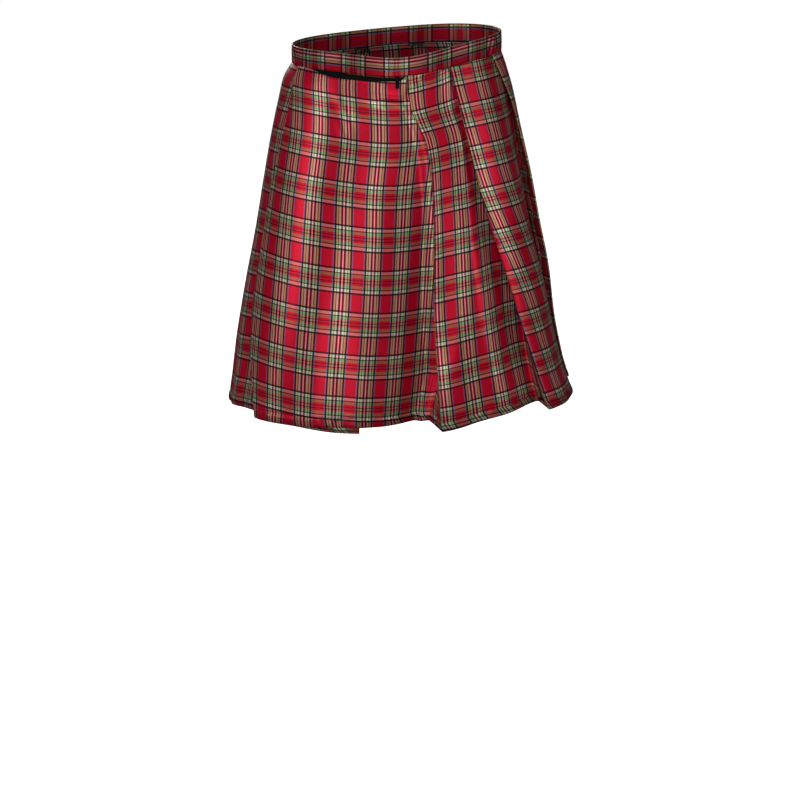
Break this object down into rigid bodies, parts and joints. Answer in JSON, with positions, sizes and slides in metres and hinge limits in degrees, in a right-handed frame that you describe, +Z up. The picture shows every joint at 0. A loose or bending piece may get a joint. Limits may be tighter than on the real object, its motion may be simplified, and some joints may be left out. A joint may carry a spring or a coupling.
{
  "type": "scottish kilt",
  "caption": "Knee-length pleated tartan wrap kilt in its worn, hollow form, with an elasticated waistband and a taped front slit.",
  "frame": {"origin": "centre of the waist, where a wearer's waist holds the kilt, level with the middle of the waistband's height at the sides", "axes": "+Z up the body, -Y towards the front of the kilt, +X towards the viewer's right as seen from the front"},
  "size_m": [0.545, 0.4231, 0.596],
  "materials": {
    "tartan_cloth": "thin twill of red, black, white, green and yellow checks with a slight satin sheen",
    "hook_and_loop_tape": "matt, fuzzy black tape"
  },
  "bodies": {
    "root": {"front_apron": "tartan_cloth", "right_pleats": "tartan_cloth", "back_right_pleats": "tartan_cloth", "back_left_pleats": "tartan_cloth", "left_pleats": "tartan_cloth", "under_apron": "tartan_cloth", "waistband_front": "tartan_cloth", "waistband_back": "tartan_cloth", "closure_tape": "hook_and_loop_tape", "closure_tab": "hook_and_loop_tape"}
  },
  "joints": []
}
